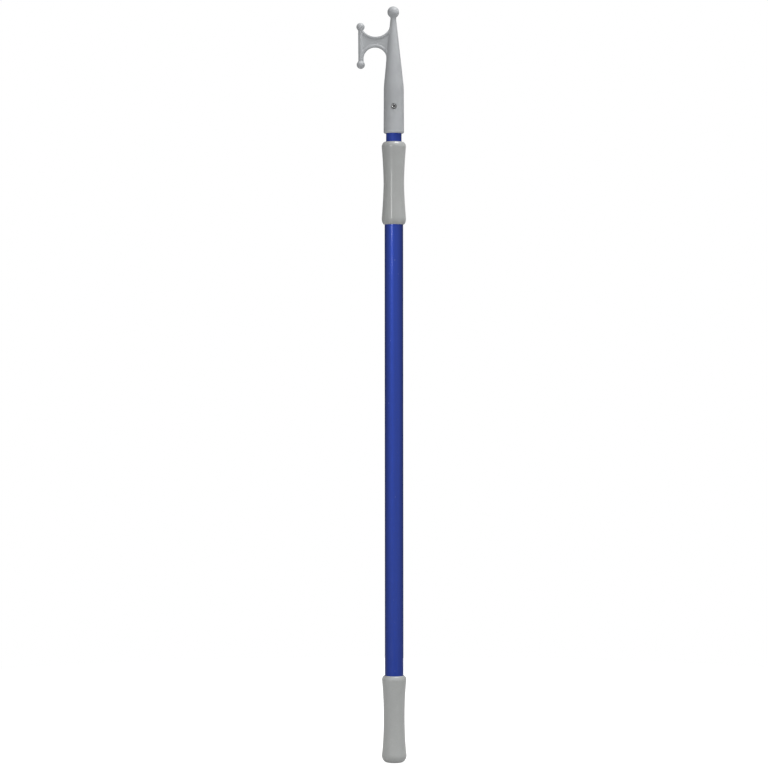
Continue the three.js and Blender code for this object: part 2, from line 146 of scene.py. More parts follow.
def turned(profile, segments=ROUND):
    """Vertices and faces of a closed body turned about Z. Profile points on the axis become poles."""
    angles = np.arange(segments) * 2 * math.pi / segments
    around = np.stack([np.cos(angles), np.sin(angles)], axis=1)
    vertices, rings = [], []
    for radius, z in profile:
        first = len(vertices)
        if radius < ON_AXIS:
            vertices.append((0.0, 0.0, z))
            rings.append([first] * segments)
        else:
            vertices.extend((radius * x, radius * y, z) for x, y in around)
            rings.append(list(range(first, first + segments)))
    faces = []
    for ring, following in zip(rings, rings[1:] + rings[:1]):
        for i in range(segments):
            j = (i + 1) % segments
            corners = dict.fromkeys((ring[i], ring[j], following[j], following[i]))
            if len(corners) > 2:
                faces.append(tuple(corners))
    return vertices, faces


def tube_profile(inner, outer, bottom, top, rows):
    """A tube's outline, up the outside and down the inside, with extra points at the given heights."""
    outside = [(outer, z) for z in sorted(rows)]
    inside = [(inner, z) for z in sorted(rows, reverse=True)]
    return [(inner, bottom), (outer, bottom), *outside, (outer, top), (inner, top), *inside]


# ---------------------------------------------------------------- shapes from a distance function


def rounded_and(a, b, radius):
    """Where both distances are negative, with the edge between them rounded."""
    a, b = a + radius, b + radius
    outside = np.hypot(np.maximum(a, 0), np.maximum(b, 0))
    return outside + np.minimum(np.maximum(a, b), 0) - radius


def rounded_or(a, b, radius):
    """Where either distance is negative, with a fillet between them."""
    return -rounded_and(-a, -b, radius)


def lower_blend(a, b, width):
    """The lower of two heights, blended where they differ by less than width."""
    overlap = np.maximum(width - abs(a - b), 0)
    return np.minimum(a, b) - overlap**2 / (4 * width)


def barrel(radial, z, radius, bottom, top, edge):
    """Distance to a cylinder along Z with rounded edges."""
    middle, half = (bottom + top) / 2, (top - bottom) / 2
    return rounded_and(radial - radius, abs(z - middle) - half, edge)


NET_MARGIN = 2  # empty cells left round a surface net


def surface_net(distance, low, high, step):
    """Vertices and quads of the closed surface on which distance(points) is zero.

    Each edge of a grid that the surface crosses makes one quad, between the four cells round that edge.
    A cell's vertex is the average of the crossings on its own edges.
    """
    margin = NET_MARGIN * step
    axes = [np.arange(a - margin, b + margin + step, step) for a, b in zip(low, high)]
    grid = np.stack(np.meshgrid(*axes, indexing="ij"), axis=-1)
    value = distance(grid)
    inside = value < 0
    cells_each_way = tuple(n - 1 for n in value.shape)
    total = np.zeros(cells_each_way + (3,))
    count = np.zeros(cells_each_way, int)
    crossings = []
    for axis in range(3):
        near, far = [slice(None)] * 3, [slice(None)] * 3
        near[axis], far[axis] = slice(0, -1), slice(1, None)
        near, far = tuple(near), tuple(far)
        crossed = inside[near] != inside[far]
        start, end = value[near][crossed], value[far][crossed]
        points = grid[near][crossed]
        points[:, axis] += step * start / (start - end)
        u, v = (k for k in range(3) if k != axis)
        around = []
        for shift_u, shift_v in ((0, 0), (-1, 0), (-1, -1), (0, -1)):
            cell = np.argwhere(crossed)
            cell[:, u] += shift_u
            cell[:, v] += shift_v
            np.add.at(total, tuple(cell.T), points)
            np.add.at(count, tuple(cell.T), 1)
            around.append(tuple(cell.T))
        crossings.append(around)
    used = count > 0
    number = np.full(cells_each_way, -1)
    number[used] = np.arange(used.sum())
    vertices = total[used] / count[used][:, None]
    faces = np.concatenate([np.stack([number[cell] for cell in around], axis=1) for around in crossings])
    return settled(vertices, faces, distance), faces


def settled(vertices, faces, distance, rounds=3, probe=0.01, least_steepness=0.25):
    """Evens out the vertices of a surface net and moves them onto the exact surface."""
    pairs = np.concatenate([faces[:, [i, (i + 1) % 4]] for i in range(4)])
    neighbours = np.bincount(pairs[:, 0], minlength=len(vertices))
    for turn in range(2 * rounds):
        if turn < rounds:
            sums = [np.bincount(pairs[:, 0], vertices[pairs[:, 1], k], len(vertices)) for k in range(3)]
            vertices = (vertices + np.stack(sums, axis=1) / neighbours[:, None]) / 2
        slope = np.empty_like(vertices)
        for axis in range(3):
            shift = np.zeros(3)
            shift[axis] = probe
            slope[:, axis] = (distance(vertices + shift) - distance(vertices - shift)) / (2 * probe)
        steepness = np.maximum((slope**2).sum(axis=1), least_steepness)
        vertices = vertices - slope * (distance(vertices) / steepness)[:, None]
    return vertices


def netted(distance, node_name, step):
    """The surface of a distance function inside a CAD node's box."""
    low, high = box_mm(node_name)
    return surface_net(distance, low, high, step)


# ---------------------------------------------------------------- pieces


def add_piece(node_name, shape, look=None):
    """Makes the visible piece that stands for a CAD node, from vertices and faces in millimetres.

    It rides on the node's own body, and has the look of the node's material slot unless another is given.
    """
    vertices, faces = shape
    slot = SLOT_OF[node_name]
    name = node_name + "_detail"
    mesh = bpy.data.meshes.new(name)
    mesh.from_pydata(np.asarray(vertices) * MM, [], np.asarray(faces, dtype=object).tolist())
    tidy_normals(mesh)
    mesh.materials.append(look or LOOKS[slot])
    piece = bpy.data.objects.new(name, mesh)
    bpy.context.scene.collection.objects.link(piece)
    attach(piece, BODY_OF[node_name])
    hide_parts(node_name)
    return piece


def tidy_normals(mesh):
    """Faces out, smooth shading, and a crisp crease at each real edge."""
    work = bmesh.new()
    work.from_mesh(mesh)
    bmesh.ops.recalc_face_normals(work, faces=work.faces)
    work.to_mesh(mesh)
    work.free()
    mesh.polygons.foreach_set("use_smooth", [True] * len(mesh.polygons))
    mesh.set_sharp_from_angle(angle=SHARP_ANGLE)


def drill(piece, start, end, radius):
    """Cuts a round hole through a piece, from start to end in millimetres."""
    start, end = Vector(start), Vector(end)
    length = (end - start).length
    vertices, faces = turned([(0, 0), (radius, 0), (radius, length), (0, length)], HOLE_ROUND)
    cutter_mesh = bpy.data.meshes.new("cutter")
    cutter_mesh.from_pydata([Vector(v) * MM for v in vertices], [], faces)
    tidy_normals(cutter_mesh)
    cutter = bpy.data.objects.new("cutter", cutter_mesh)
    cutter.location = start * MM
    cutter.rotation_mode = "QUATERNION"
    cutter.rotation_quaternion = (end - start).to_track_quat("Z", "Y")
    bpy.context.scene.collection.objects.link(cutter)
    hole = piece.modifiers.new("hole", "BOOLEAN")
    hole.operation = "DIFFERENCE"
    hole.solver = "EXACT"
    hole.object = cutter
    graph = bpy.context.evaluated_depsgraph_get()
    cut = bpy.data.meshes.new_from_object(piece.evaluated_get(graph), depsgraph=graph)
    piece.modifiers.remove(hole)
    piece.data = cut
    cut.set_sharp_from_angle(angle=SHARP_ANGLE)
    bpy.data.objects.remove(cutter)


# ---------------------------------------------------------------- material helpers


def node(tree, kind, inputs=None, **settings):
    """Adds a shader node; an input may be a value or another node's output."""
    made = tree.nodes.new(kind)
    for key, value in settings.items():
        setattr(made, key, value)
    for key, value in (inputs or {}).items():
        if isinstance(value, bpy.types.NodeSocket):
            tree.links.new(value, made.inputs[key])
        else:
            made.inputs[key].default_value = value
    return made


def coordinate(tree, axis):
    """The X, Y or Z of the point being shaded, in metres."""
    where = node(tree, "ShaderNodeTexCoord").outputs["Object"]
    return node(tree, "ShaderNodeSeparateXYZ", {"Vector": where}).outputs[axis]


def place(tree, size, stretch=(1, 1, 1)):
    """Coordinates that repeat about once per size millimetres, stretched along an axis where wanted."""
    where = node(tree, "ShaderNodeTexCoord").outputs["Object"]
    scale = [1 / (size * MM * s) for s in stretch]
    return node(tree, "ShaderNodeMapping", {"Vector": where, "Scale": scale}).outputs["Vector"]


def noise(tree, size, detail, stretch=(1, 1, 1)):
    """A cloudy pattern, mostly between 0.3 and 0.7, whose clouds are about size millimetres across."""
    inputs = {"Vector": place(tree, size, stretch), "Scale": 1.0, "Detail": detail}
    return node(tree, "ShaderNodeTexNoise", inputs).outputs["Fac"]


def cells(tree, size):
    """A pattern of cells about size millimetres across: 0 at each one's centre, rising to its edge."""
    inputs = {"Vector": place(tree, size), "Scale": 1.0}
    return node(tree, "ShaderNodeTexVoronoi", inputs).outputs["Distance"]


def spread(tree, value, low, high, start=0.3, end=0.7):
    """Maps a pattern's values from start..end to low..high."""
    inputs = {"Value": value, "From Min": start, "From Max": end, "To Min": low, "To Max": high}
    return node(tree, "ShaderNodeMapRange", inputs).outputs["Result"]


def blend_colour(tree, share, first, second):
    """The first colour, or a node's output, giving way to the second one as share goes from 0 to 1."""
    # A mix node's sockets go by number, because several have the same name.
    if isinstance(first, tuple):
        first = (*first, 1)
    made = node(tree, "ShaderNodeMix", {0: share, 6: first, 7: (*second, 1)}, data_type="RGBA")
    return made.outputs[2]


def blend_value(tree, share, first, second):
    """The first value, giving way to the second one as share goes from 0 to 1."""
    return node(tree, "ShaderNodeMix", {0: share, 2: first, 3: second}).outputs[0]


def crease_shade_share(tree, reach, share):
    """The given share where other surfaces crowd within reach millimetres, and 0 in the open; the mask for
    shade painted into creases and recesses.
    """
    openness = node(tree, "ShaderNodeAmbientOcclusion", {"Distance": reach * MM}, samples=8).outputs["AO"]
    return spread(tree, openness, share, 0, start=0.45, end=0.9)


def raised(tree, height, depth, under=None):
    """A bump of the given depth in millimetres, on top of another one where given."""
    inputs = {"Height": height, "Distance": depth * MM, "Strength": 1.0}
    if under is not None:
        inputs["Normal"] = under
    return node(tree, "ShaderNodeBump", inputs).outputs["Normal"]


def new_look(name):
    """A material with an empty node tree; finish_look() adds its surface."""
    look = bpy.data.materials.new(name)
    look.use_nodes = True
    look.node_tree.nodes.clear()
    return look, look.node_tree


def finish_look(tree, **inputs):
    """Gives a look its surface; each name is an input of the Principled shader, with _ for a space."""
    named = {key.replace("_", " "): value for key, value in inputs.items()}
    surface = node(tree, "ShaderNodeBsdfPrincipled", named)
    output = node(tree, "ShaderNodeOutputMaterial")
    tree.links.new(surface.outputs["BSDF"], output.inputs["Surface"])


def shade(colour, factor):
    """A colour made darker or lighter."""
    return tuple(channel * factor for channel in colour)


# ---------------------------------------------------------------- materials

HOOK_GREY = (0.318, 0.328, 0.339)
GRIP_GREY = (0.282, 0.289, 0.283)
TUBE_BLUE = (0.009, 0.036, 0.275)
TUBE_SPECK = (0.16, 0.19, 0.42)
NYLON_WHITE = (0.7, 0.69, 0.65)
RUBBER_BLACK = (0.018, 0.018, 0.019)
FOAM_WHITE = (0.78, 0.76, 0.7)
STEEL_GREY = (0.62, 0.62, 0.63)
CAM_GREY = (0.2, 0.2, 0.21)
# Near-black painted shade, put on metal where other surfaces crowd it.
PAINTED_CREASE_SHADE = (0.03, 0.028, 0.026)


def moulded_plastic(name, colour, roughness, rim_z=None):
    """Hard moulded plastic: faint flow clouds, spark-eroded grain, scuffs, and shade painted into its
    creases.

    With a rim height it also has a mould parting line, and a painted highlight: the band just above that
    rim is painted lighter.
    """
    look, tree = new_look(name)
    clouds = noise(tree, 26, 4)
    speckle = noise(tree, 0.9, 2)
    body = blend_colour(tree, spread(tree, clouds, 0, 1), shade(colour, 0.93), shade(colour, 1.05))
    body = blend_colour(tree, spread(tree, speckle, 0, 0.5, 0.45, 0.75), body, shade(colour, 0.86))
    scuffs = noise(tree, 1.1, 5, stretch=(1, 1, 7))
    scuffed = spread(tree, scuffs, 0, 0.4, 0.66, 0.74)
    body = blend_colour(tree, scuffed, body, shade(colour, 1.12))
    # Painted shade: the colour goes down to 0.6 of itself where other surfaces crowd it, in creases such as
    # under the beads.
    body = blend_colour(tree, crease_shade_share(tree, 4, 0.55), body, shade(colour, 0.6))
    shine = spread(tree, noise(tree, 9, 3), roughness - 0.06, roughness + 0.08)
    normal = raised(tree, noise(tree, 0.45, 3), 0.035)
    normal = raised(tree, scuffed, -0.006, normal)
    if rim_z is not None:
        normal = raised(tree, ridge(tree, 0.35), 0.12, normal)
        # Painted highlight: from the bottom rim up to 5 mm above it, the colour is painted up to 1.3 times
        # lighter, fading out upwards.
        lightened_band = spread(tree, coordinate(tree, "Z"), 0.7, 0, (rim_z + 1) * MM, (rim_z + 5) * MM)
        body = blend_colour(tree, lightened_band, body, shade(colour, 1.3))
    finish_look(tree, Base_Color=body, Roughness=shine, Normal=normal, IOR=1.5)
    return look


def ridge(tree, half_width):
    """1 on the plane Y = 0, where two mould halves meet, falling to 0 at half_width millimetres."""
    away = node(tree, "ShaderNodeMath", {0: coordinate(tree, "Y")}, operation="ABSOLUTE").outputs[0]
    return spread(tree, away, 1, 0, 0, half_width * MM)


def soft_grip():
    """Soft-touch foam rubber: pebbled skin, small pores, faint patches and a mould line."""
    look, tree = new_look("soft_grip_grey")
    pebbles = cells(tree, 0.85)
    patches = noise(tree, 18, 5)
    body = blend_colour(tree, spread(tree, patches, 0, 1), shade(GRIP_GREY, 0.94), shade(GRIP_GREY, 1.04))
    body = blend_colour(tree, spread(tree, pebbles, 0, 0.35, 0.35, 0.75), body, shade(GRIP_GREY, 0.8))
    pores = spread(tree, noise(tree, 0.6, 2), 0, 1, 0.64, 0.72)
    body = blend_colour(tree, pores, body, shade(GRIP_GREY, 0.7))
    shine = spread(tree, patches, 0.5, 0.6)
    normal = raised(tree, pebbles, -0.03)
    normal = raised(tree, pores, -0.05, normal)
    normal = raised(tree, ridge(tree, 0.4), 0.1, normal)
    finish_look(
        tree,
        Base_Color=body,
        Roughness=shine,
        Normal=normal,
        Sheen_Weight=0.35,
        Sheen_Roughness=0.5,
        Coat_Weight=0.6,
        Coat_Roughness=0.2,
        Coat_Normal=raised(tree, pebbles, -0.004),
    )
    return look


def anodised_tube(name, dullness, ring_wear):
    """Drawn and blue-anodised aluminium: fine lines along it, pale specks, and rubbed rings on request."""
    look, tree = new_look(name)
    lines = noise(tree, 0.5, 3, stretch=(1, 1, 240))
    bands = noise(tree, 4, 3, stretch=(1, 1, 60))
    body = blend_colour(tree, spread(tree, bands, 0, 1), shade(TUBE_BLUE, 0.92), shade(TUBE_BLUE, 1.07))
    body = blend_colour(tree, spread(tree, lines, 0, 0.5), body, shade(TUBE_BLUE, 1.18))
    specks = spread(tree, noise(tree, 2.4, 4, stretch=(1, 1, 3)), 0, 0.5, 0.7, 0.76)
    body = blend_colour(tree, specks, body, TUBE_SPECK)
    shine = spread(tree, lines, 0.4 + dullness / 2, 0.5 + dullness / 2)
    normal = raised(tree, lines, 0.004)
    if ring_wear:
        rings = noise(tree, 3, 4, stretch=(40, 40, 1))
        lightened_band = spread(tree, rings, 0, 0.35, 0.55, 0.7)
        body = blend_colour(tree, lightened_band, body, shade(TUBE_BLUE, 1.5))
        normal = raised(tree, lightened_band, -0.01, normal)
    finish_look(
        tree,
        Base_Color=body,
        Metallic=0.9,
        Roughness=shine,
        Normal=normal,
        Coat_Weight=0.5,
        Coat_Roughness=0.145 + dullness,
    )
    return look


def bare_metal(name, colour, roughness):
    """Bright metal with turning marks and faint stains, and near-black painted shade where other surfaces
    crowd it.
    """
    look, tree = new_look(name)
    marks = noise(tree, 0.12, 2, stretch=(12, 12, 1))
    stains = noise(tree, 1.6, 4)
    body = blend_colour(tree, spread(tree, stains, 0, 1), shade(colour, 0.85), shade(colour, 1.05))
    # Painted shade: near black in the screw's cross slot and wherever other surfaces crowd the metal.
    body = blend_colour(tree, crease_shade_share(tree, 1.5, 1), body, PAINTED_CREASE_SHADE)
    shine = spread(tree, marks, roughness - 0.06, roughness + 0.1)
    finish_look(tree, Base_Color=body, Metallic=1.0, Roughness=shine, Normal=raised(tree, marks, 0.008))
    return look


def nylon():
    """Natural white nylon: waxy, faintly cloudy, with fine scratches."""
    look, tree = new_look("white_nylon")
    clouds = noise(tree, 7, 4)
    body = blend_colour(tree, spread(tree, clouds, 0, 1), shade(NYLON_WHITE, 0.9), shade(NYLON_WHITE, 1.04))
    scratches = spread(tree, noise(tree, 0.4, 3, stretch=(1, 1, 9)), 0, 1, 0.6, 0.7)
    normal = raised(tree, scratches, -0.01)
    shine = spread(tree, clouds, 0.38, 0.52)
    finish_look(
        tree,
        Base_Color=body,
        Roughness=shine,
        Normal=normal,
        Subsurface_Weight=0.2,
        Subsurface_Radius=(0.002, 0.002, 0.0016),
        Subsurface_Scale=1.0,
    )
    return look


def rubber():
    """Matt black rubber with a talc-like bloom."""
    look, tree = new_look("black_rubber")
    bloom = noise(tree, 2.5, 5)
    body = blend_colour(tree, spread(tree, bloom, 0, 1), RUBBER_BLACK, shade(RUBBER_BLACK, 2.4))
    shine = spread(tree, bloom, 0.6, 0.85)
    normal = raised(tree, noise(tree, 0.3, 3), 0.02)
    finish_look(tree, Base_Color=body, Roughness=shine, Normal=normal)
    return look


def foam():
    """Closed-cell foam: round cells cut open at the surface."""
    look, tree = new_look("closed_cell_foam")
    bubbles = cells(tree, 0.9)
    body = blend_colour(tree, spread(tree, bubbles, 0, 1, 0.1, 0.6), shade(FOAM_WHITE, 0.72), FOAM_WHITE)
    finish_look(tree, Base_Color=body, Roughness=0.92, Normal=raised(tree, bubbles, 0.2))
    return look


LOOKS = {
    "hook_grey": moulded_plastic("hook_grey_plastic", HOOK_GREY, 0.5, rim_z=HOOK_LOW.z),
    "cam_grey": moulded_plastic("cam_grey_plastic", CAM_GREY, 0.4),
    "grip_grey": soft_grip(),
    "blue_aluminium": anodised_tube("outer_tube_blue", dullness=0, ring_wear=False),
    "stainless": bare_metal("stainless_steel", shade(STEEL_GREY, 0.34), 0.17),
    "rivet_aluminium": bare_metal("rivet_aluminium", shade(STEEL_GREY, 0.95), 0.4),
    "white_nylon": nylon(),
    "black_rubber": rubber(),
    "foam": foam(),
}
INNER_TUBE_LOOK = anodised_tube("inner_tube_blue", dullness=0.4, ring_wear=True)


# ---------------------------------------------------------------- hook head

# Heights are measured from the bottom of the barrel.
HOOK_NET_STEP = 0.6
BARREL_RADIUS = 16.5
BARREL_TAPER = 0.4  # by how much it is narrower at its top
BARREL_TOP = 75.5
CONE_TAPER, CONE_HEIGHT = 11.65, 111.3  # by how much it narrows over this height
HOOK_LEAN = 0.0065  # sideways shift of what is above the barrel, per unit of height
BALL_RADIUS = 9.4
BAR_BALL_RADIUS = 6.6
BAR_RADIUS = 3.8
BAR_BALLS_Z = (110.8, 171.8)
WEB_HALF = 1.6  # half its thickness
WEB_RIGHT = -2.0  # inside the cone
WEB_BOTTOM, WEB_TOP = 112, 170
THROAT_X, THROAT_Z, THROAT_RADIUS = -29.8, 119.6, 18.9
FORK_X, FORK_Z, FORK_RADIUS = -28.6, 181.1, 25.2
BEAD_RADIUS = 2.9
FORK_BEAD_RADIUS = 3.5
FORK_CREST = -1.4  # how far the middle of the fork's bead is from that of a plain one
SOCKET_START = -10  # clear of the barrel, so that the socket is open
CORE_BOTTOM, CORE_TOP = 60, 150
CORE_WIDE, CORE_NARROW = 9.5, 2.5


def hook_distance(points):
    """Distance to the hook moulding."""
    x, y, z = points[..., 0], points[..., 1], points[..., 2] - HOOK_LOW.z
    x = x + HOOK_LEAN * np.maximum(z - BARREL_TOP, 0)
    radial = np.hypot(x, y)
    solid = rounded_or(shaft(radial, z), crossbar(x, y, z), 1.0)
    solid = rounded_or(solid, web(x, y, z), 1.8)
    return hollowed(solid, z, radial)


def shaft(radial, z):
    """The barrel, the cone above it and the ball on its tip."""
    top = HOOK_HIGH.z - HOOK_LOW.z - BALL_RADIUS
    barrel_radius = BARREL_RADIUS - BARREL_TAPER * z / BARREL_TOP
    cone_radius = BARREL_RADIUS - BARREL_TAPER - CONE_TAPER * (z - BARREL_TOP) / CONE_HEIGHT
    outline = lower_blend(barrel_radius, cone_radius, 0.8)
    body = rounded_and(radial - outline, -z, 2.5)
    body = rounded_and(body, z - top, 1.0)
    ball = np.hypot(radial, z - top) - BALL_RADIUS
    return rounded_or(body, ball, 1.4)


def crossbar(x, y, z):
    """The bar across the hook with a ball on each end."""
    centre = HOOK_LOW.x + BAR_BALL_RADIUS
    radial = np.hypot(x - centre, y)
    bar = barrel(radial, z, BAR_RADIUS, *BAR_BALLS_Z, edge=0.5)
    for height in BAR_BALLS_Z:
        ball = np.hypot(radial, z - height) - BAR_BALL_RADIUS
        bar = rounded_or(bar, ball, 1.0)
    return bar


def web(x, y, z):
    """The thin plate between bar and cone, with a round bead along the throat and along the fork."""
    throat = np.hypot(x - THROAT_X, np.maximum(z - THROAT_Z, 0)) - (THROAT_RADIUS + BEAD_RADIUS)
    fork = np.hypot(x - FORK_X, z - FORK_Z) - (FORK_RADIUS + BEAD_RADIUS)
    left = HOOK_LOW.x + BAR_BALL_RADIUS
    ends = np.maximum(np.maximum(left - x, x - WEB_RIGHT), np.maximum(WEB_BOTTOM - z, z - WEB_TOP))
    plate = np.maximum(np.maximum(-throat, -fork), ends)
    plate = rounded_and(plate, abs(y) - WEB_HALF, 0.4)
    throat_bead = np.maximum(np.hypot(throat, y) - BEAD_RADIUS, ends)
    fork_bead = np.hypot(fork - FORK_CREST, y) - FORK_BEAD_RADIUS
    fork_bead = np.maximum(rounded_and(fork_bead, -BEAD_RADIUS - fork, 0.8), ends)
    return rounded_or(rounded_or(plate, throat_bead, 0.5), fork_bead, 0.5)


def hollowed(solid, z, radial):
    """Cuts the tube socket, and the tapered core that opens into it."""
    socket_depth = box_mm("inner_tube")[1].z - HOOK_LOW.z + FIXED_GAP
    socket = barrel(radial, z, INNER_RADIUS + FIXED_GAP, SOCKET_START, socket_depth, edge=0.3)
    share = (z - socket_depth) / (CORE_TOP - socket_depth)
    core_radius = CORE_WIDE - (CORE_WIDE - CORE_NARROW) * share
    core_middle, core_half = (CORE_BOTTOM + CORE_TOP) / 2, (CORE_TOP - CORE_BOTTOM) / 2
    core = rounded_and(radial - core_radius, abs(z - core_middle) - core_half, 1.5)
    for cut in (socket, core):
        solid = rounded_and(solid, -cut, 0.4)
    return solid


# ---------------------------------------------------------------- grips

GRIP_BORE = POLE_RADIUS + FIXED_GAP
LOWER_WAIST_Z, LOWER_WAIST_RADIUS = 74.5, 17.0  # the height is measured from the grip's own end
LOWER_FOOT_RADIUS = 10.6
LOWER_MOUTH_SLIMMING = 0.4  # by how much the mouth is slimmer than the foot
CLOSED_END_EDGE = 6  # radius of a ring of vertices in the closed end
UPPER_WAIST_Z, UPPER_WAIST_RADIUS = 66.0, 16.6


def grip_side(waist, end_z, swell, power, height, inner, sweep=90):
    """Points from beside the waist out to a swell, then round the edge and in to the end face.

    The edge is part of an ellipse that turns through sweep degrees over the given height and ends at the
    inner radius. The power says how late the waist flares out.
    """
    waist_radius, waist_z = waist
    outward = math.copysign(1, end_z - waist_z)
    edge_z = end_z - outward * height
    flare = [
        (waist_radius + (swell - waist_radius) * share**power, waist_z + (edge_z - waist_z) * share)
        for share in np.linspace(0, 1, 20, endpoint=False)[1:]
    ]
    turn = math.radians(sweep)
    across = (swell - inner) / (1 - math.cos(turn))
    along = outward * height / math.sin(turn)
    edge = [
        (swell - across * (1 - math.cos(angle)), edge_z + along * math.sin(angle))
        for angle in np.linspace(0, turn, 14)
    ]
    return flare + edge


def lower_grip():
    """The grip that closes the bottom of the pole."""
    low, high = box_mm("lower_grip")
    floor = box_mm("bottom_plug")[0].z - 2 * FIXED_GAP
    waist = (LOWER_WAIST_RADIUS, low.z + LOWER_WAIST_Z)
    mouth_swell = high.x - LOWER_MOUTH_SLIMMING
    foot = grip_side(waist, low.z, swell=high.x, power=2.4, height=11.5, inner=LOWER_FOOT_RADIUS)
    mouth = grip_side(waist, high.z, swell=mouth_swell, power=2.0, height=7, inner=GRIP_BORE)
    inside = [(GRIP_BORE, floor + 1), (GRIP_BORE - 1, floor), (0, floor)]
    return turned([(0, low.z), (CLOSED_END_EDGE, low.z), *foot[::-1], waist, *mouth, *inside])


def upper_grip():
    """The grip at the mouth of the outer tube, open at both ends."""
    low, high = box_mm("upper_grip")
    waist = (UPPER_WAIST_RADIUS, low.z + UPPER_WAIST_Z)
    foot = grip_side(waist, low.z, swell=high.x, power=1.5, height=9.9, inner=GRIP_BORE)
    mouth = grip_side(waist, high.z, swell=high.x, power=1.7, height=8, inner=GRIP_BORE, sweep=75)
    return turned([*foot[::-1], waist, *mouth])


# ---------------------------------------------------------------- tubes

HOLE_MARGIN = 5  # from a hole's centre to the rows of vertices above and below it
TUBE_STRETCHES = 21  # between rows of vertices along the whole tube


def tube(node_name, holes):
    """A tube with eased ends, and extra rows of vertices round each hole."""
    low, high = box_mm(node_name)
    rows = [z + side * HOLE_MARGIN for z in holes for side in (-1, 1)]
    rows += list(np.linspace(low.z, high.z, TUBE_STRETCHES + 1)[1:-1])
    outline = tube_profile(high.x - TUBE_WALL, high.x, low.z, high.z, rows)
    return turned(rounded(outline, 0.3, 3))


# ---------------------------------------------------------------- screws, rivets and pins

SCREW_NET_STEP = 0.14
THREAD_PITCH = 1.4
THREAD_DEPTH = 0.45
THREAD_RADIUS = 1.95
HEAD_HEIGHT = 2.2
DOME_HEIGHT = 0.75
SLOT_DEPTH = 1.9
SLOT_REACH, SLOT_REACH_TAPER = 2.6, 0.6  # from the middle to an arm's end, and how it shrinks with depth
SLOT_HALF, SLOT_HALF_TAPER = 0.85, 0.2  # half an arm's width, and how it shrinks with depth


def screw_distance(length, head_radius):
    """Distance to a cross-slot tapping screw along Z: tip at 0, head at the top."""
    head_bottom = length - HEAD_HEIGHT
    bulge = (head_radius**2 + DOME_HEIGHT**2) / (2 * DOME_HEIGHT)

    def distance(points):
        x, y, z = points[..., 0], points[..., 1], points[..., 2]
        radial = np.hypot(x, y)
        turns = z / THREAD_PITCH - np.arctan2(y, x) / (2 * math.pi)
        crest = 1 - 2 * abs(turns % 1 - 0.5)
        taper = np.clip(z / (1.6 * THREAD_RADIUS), 0, 1)
        core = (THREAD_RADIUS - THREAD_DEPTH) * taper
        thread = core + THREAD_DEPTH * taper * np.clip(2.2 * crest - 0.9, 0, 1)
        shank = rounded_and(radial - thread, z - head_bottom - 0.3, 0.1) * 0.8
        shank = np.maximum(shank, -z)
        dome = np.hypot(radial, z - length + bulge) - bulge
        head = rounded_and(rounded_and(radial - head_radius, head_bottom - z, 0.25), dome, 0.3)
        body = rounded_or(head, shank, 0.2)
        return rounded_and(body, -cross_slot(x, y, length - z), 0.1)

    return distance


def cross_slot(x, y, depth):
    """Distance to a cross-shaped drive recess that narrows downwards, depth measured from the top."""
    reach = SLOT_REACH - SLOT_REACH_TAPER * depth
    half = SLOT_HALF - SLOT_HALF_TAPER * depth
    along = np.maximum(abs(x) - reach, abs(y) - half)
    across = np.maximum(abs(y) - reach, abs(x) - half)
    slot = rounded_or(along, across, 0.3)
    return np.maximum(slot, depth - SLOT_DEPTH)


def screw(node_name, axis, turn=0.0):
    """A screw that fills its CAD node's box along Y or Z, head at the low end, turned about its axis."""
    low, high = box_mm(node_name)
    middle, size = (low + high) / 2, high - low
    length, width = (size.y, size.z) if axis == "Y" else (size.z, size.x)
    reach = width / 2 + 0.3
    distance = screw_distance(length, width / 2)
    vertices, faces = surface_net(distance, (-reach, -reach, 0), (reach, reach, length), SCREW_NET_STEP)
    x, y, z = vertices.T
    x, y = x * math.cos(turn) - y * math.sin(turn), x * math.sin(turn) + y * math.cos(turn)
    if axis == "Y":
        placed = (middle.x + x, high.y - z, middle.z + y)
    else:
        placed = (middle.x + x, middle.y - y, high.z - z)
    return np.stack(placed, axis=1), faces


RIVET_SHANK = 1.5
RIVET_HEAD_HEIGHT, RIVET_HEAD_EDGE = 1.1, 0.45
RIVET_CROWN_RADIUS = 1.9
MANDREL_RADIUS = 0.9
MANDREL_Z = 0.5  # of its broken end, above the underside of the head


def rivet(node_name):
    """A blind rivet: domed head with its broken mandrel showing, and a shank."""
    low, high = box_mm(node_name)
    side = 1 if low.x > 0 else -1
    crown = high.x - low.x
    under_head = crown - RIVET_HEAD_HEIGHT
    profile = [(0, 0), (RIVET_SHANK, 0), (RIVET_SHANK, under_head), (high.y, under_head)]
    profile += [(high.y - 0.3, under_head + RIVET_HEAD_EDGE), (RIVET_CROWN_RADIUS, crown)]
    profile += [(MANDREL_RADIUS + 0.05, crown), (MANDREL_RADIUS - 0.05, under_head + MANDREL_Z)]
    profile += [(0, under_head + MANDREL_Z)]
    vertices, faces = turned(rounded(profile, 0.2, 3), SMALL_ROUND)
    x, y, z = np.array(vertices).T
    inner_end = low.x if side > 0 else high.x
    return np.stack([inner_end + side * z, y, RIVET_Z + x], axis=1), faces


def lock_pin():
    """A plain pin across the pole, along Y."""
    low, high = box_mm("lock_pin")
    length = high.y - low.y
    radius = high.x
    profile = rounded([(0, 0), (radius, 0), (radius, length), (0, length)], 0.35)
    vertices, faces = turned(profile, SMALL_ROUND)
    x, y, z = np.array(vertices).T
    return np.stack([x, low.y + z, LOCK_PIN_Z + y], axis=1), faces


# ---------------------------------------------------------------- fittings in the outer tube

PLUG_RIM = 2
PLUG_HOLLOW_RADIUS, PLUG_HOLLOW_DEPTH = 11, 24
PLUG_GROOVES = (6, 12, 18)  # above the rim
PLUG_GROOVE_DEPTH = 0.5
PLUG_BEVEL = 1.2


